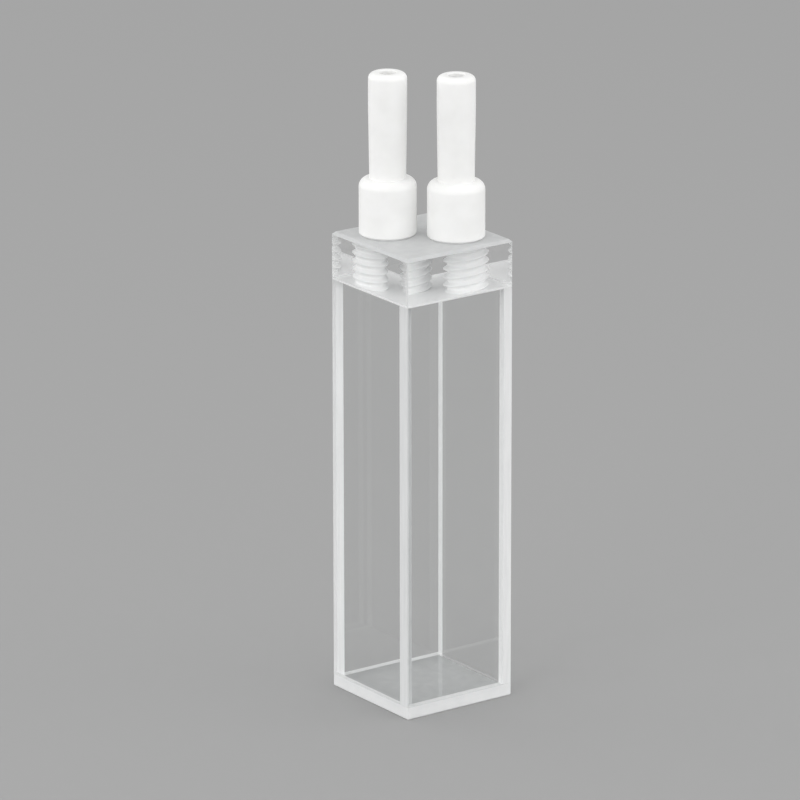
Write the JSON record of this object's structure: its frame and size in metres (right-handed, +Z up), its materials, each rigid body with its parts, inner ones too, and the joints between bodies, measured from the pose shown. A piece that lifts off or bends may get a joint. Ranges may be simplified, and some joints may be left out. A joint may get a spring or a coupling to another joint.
{
  "type": "flow-through cuvette",
  "caption": "Tall square glass cell with clear windows and frosted edges, closed by a port block with two screw-in white tubing connectors.",
  "frame": {"origin": "centre of the foot, on the surface that the cell stands on", "axes": "+Z up the cell; the front window faces -Y and the left window faces -X"},
  "size_m": [0.0126, 0.0126, 0.0626],
  "materials": {
    "window_glass": "polished faces with ground, frosted edges",
    "base_glass": "ground and frosted below and at the sides, polished above",
    "block_glass": "polished sides, ground and frosted top and underside",
    "connector_white": "turned, satin"
  },
  "bodies": {
    "root": {"base_plate": "base_glass", "front_window": "window_glass", "back_window": "window_glass", "left_window": "window_glass", "right_window": "window_glass", "port_block": "block_glass", "inlet_connector": "connector_white", "outlet_connector": "connector_white"}
  },
  "joints": []
}
